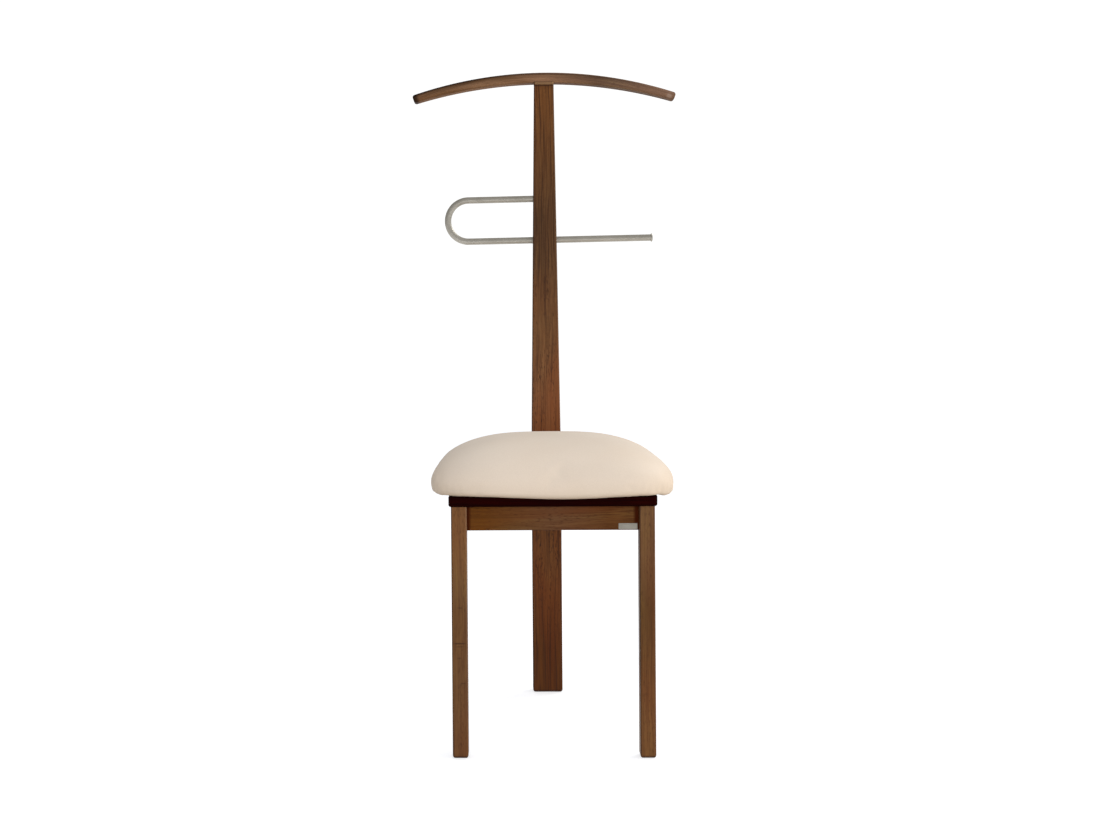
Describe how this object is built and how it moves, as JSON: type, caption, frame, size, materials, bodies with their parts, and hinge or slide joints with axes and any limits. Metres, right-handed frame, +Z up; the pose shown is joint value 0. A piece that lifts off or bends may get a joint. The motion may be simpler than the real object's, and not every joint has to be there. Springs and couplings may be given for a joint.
{
  "type": "clothes valet chair",
  "caption": "Padded valet stool on two front legs with a tapered rear post that carries an arched jacket hanger and a bent trouser bar.",
  "frame": {"origin": "on the floor, under the middle of the overall box", "axes": "+Z up, the chair faces -Y, +X to the right of someone who looks at its front"},
  "size_m": [0.444, 0.394, 1.05],
  "materials": {
    "walnut_wood": "walnut-stained beech under a satin lacquer",
    "dark_board": "dark mahogany stain, satin",
    "plain_wood": "bare beech and plywood",
    "satin_nickel": "satin nickel plate",
    "zinc_steel": "zinc plate",
    "cream_cover": "cream leatherette, matt",
    "foam": "open-cell foam"
  },
  "bodies": {
    "root": {"rear_post": "walnut_wood", "hanger_bar": "walnut_wood", "hanger_dowels": "plain_wood", "trouser_bar": "satin_nickel", "trouser_bar_cap": "satin_nickel", "bar_lock_screw": "zinc_steel", "front_leg_left": "walnut_wood", "front_leg_right": "walnut_wood", "front_rail": "walnut_wood", "side_rail_left": "walnut_wood", "side_rail_right": "walnut_wood", "rear_rail": "walnut_wood", "front_corner_blocks": "plain_wood", "rear_corner_blocks": "plain_wood", "frame_dowels": "plain_wood", "post_bolts": "zinc_steel", "sleeve_nuts": "zinc_steel", "seat_board": "dark_board", "board_screws": "zinc_steel", "cushion_base": "plain_wood", "cushion_foam": "foam", "cushion_cover": "cream_cover", "cushion_screws": "zinc_steel"}
  },
  "joints": []
}
